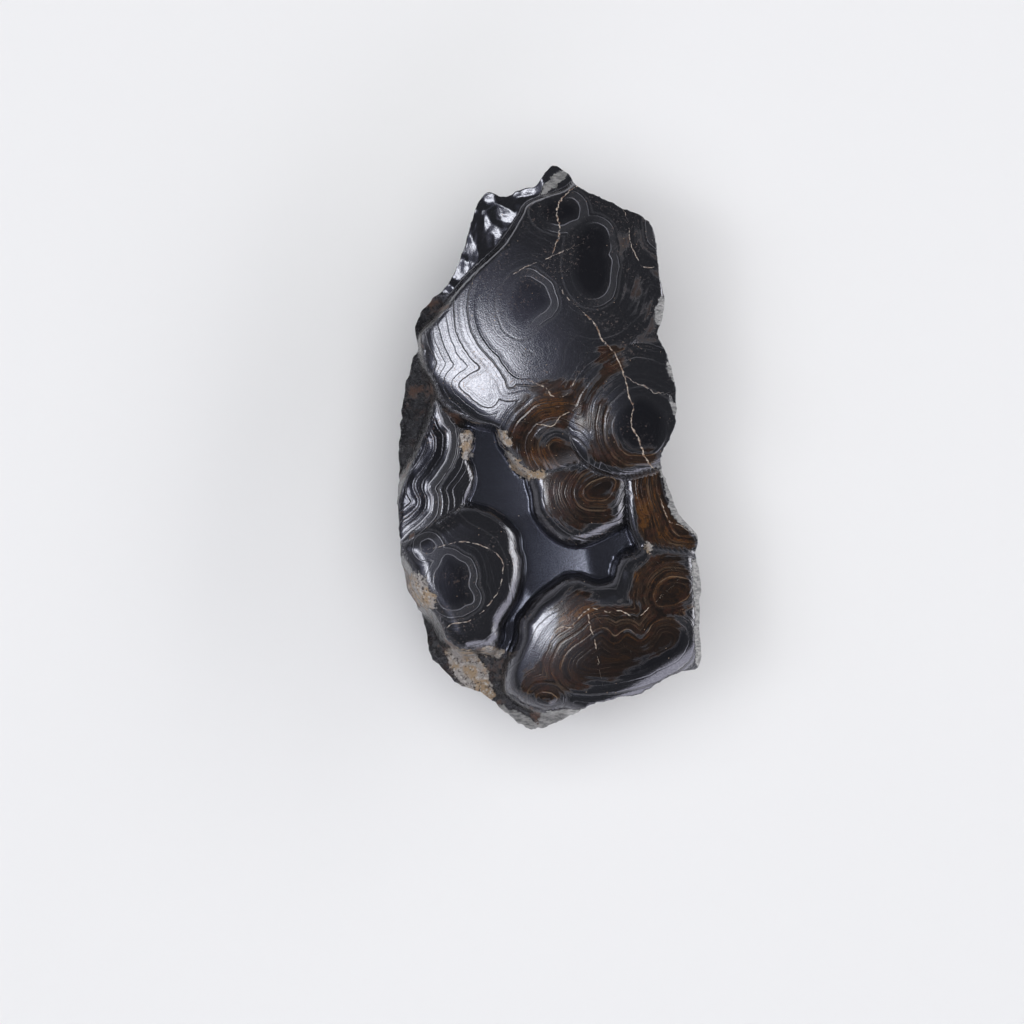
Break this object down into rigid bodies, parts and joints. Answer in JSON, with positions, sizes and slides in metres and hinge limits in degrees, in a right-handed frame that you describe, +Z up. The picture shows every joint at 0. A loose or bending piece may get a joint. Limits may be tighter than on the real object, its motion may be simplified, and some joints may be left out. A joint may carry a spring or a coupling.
{
  "type": "polished botryoidal hematite specimen",
  "caption": "Hand-sized chunk of kidney ore: polished near-black hematite domes ringed by growth bands, with broken sides and rusty crust.",
  "frame": {"origin": "middle of the footprint of the resting stone, on the surface it rests on", "axes": "+Z up, out of the polished face; +Y along the stone's length, towards its pointed broken tip; +X across it, towards the side with the rust-brown domes"},
  "size_m": [0.051, 0.0946, 0.0337],
  "materials": {
    "polished_hematite": "polished, near-black with a silver lustre, rust-brown growth bands and dull tan crust"
  },
  "bodies": {
    "root": {"hematite_stone": "polished_hematite"}
  },
  "joints": []
}
